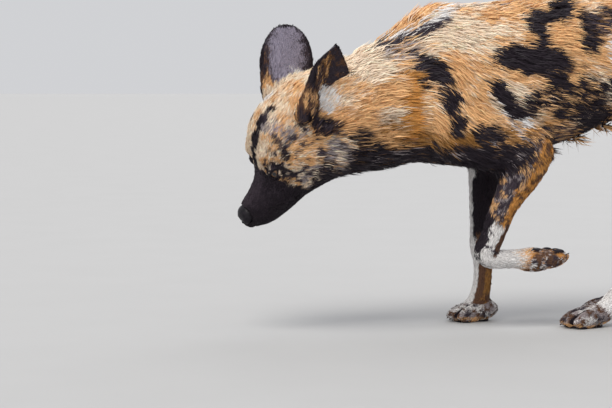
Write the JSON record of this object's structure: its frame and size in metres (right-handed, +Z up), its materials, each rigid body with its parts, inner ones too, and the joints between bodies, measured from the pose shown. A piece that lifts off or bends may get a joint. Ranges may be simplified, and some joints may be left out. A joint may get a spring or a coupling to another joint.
{
  "type": "life-size model of an african wild dog",
  "caption": "Still, life-size model of an african wild dog stepping forward with its head lowered and its left forefoot lifted.",
  "frame": {"origin": "on the floor, under the middle of the whole animal's box", "axes": "+Z up, -Y the way the dog walks, +X to the dog's left"},
  "size_m": [0.2152, 0.9697, 0.5571],
  "materials": {
    "coat_body": "soft fur, tan with black and white patches",
    "coat_head": "short fur, tan mottled with black, black muzzle",
    "coat_ears": "thin short dark fur",
    "coat_legs": "short fur, white and tan with dark spots",
    "coat_tail": "bushy fur, tan and black with a white tip",
    "eyes": "wet and glossy",
    "bare_skin": "moist fine-grained black skin",
    "claws": "worn horn"
  },
  "bodies": {
    "root": {"head": "coat_head", "ear_left": "coat_ears", "ear_right": "coat_ears", "eye_left": "eyes", "eye_right": "eyes", "nose": "bare_skin", "neck": "coat_body", "trunk": "coat_body", "tail": "coat_tail", "upper_leg_fore_left": "coat_body", "upper_leg_fore_right": "coat_body", "upper_leg_hind_left": "coat_body", "upper_leg_hind_right": "coat_body", "lower_leg_fore_left": "coat_legs", "lower_leg_fore_right": "coat_legs", "lower_leg_hind_left": "coat_legs", "lower_leg_hind_right": "coat_legs", "paw_fore_left": "coat_legs", "paw_fore_right": "coat_legs", "paw_hind_left": "coat_legs", "paw_hind_right": "coat_legs"}
  },
  "joints": []
}
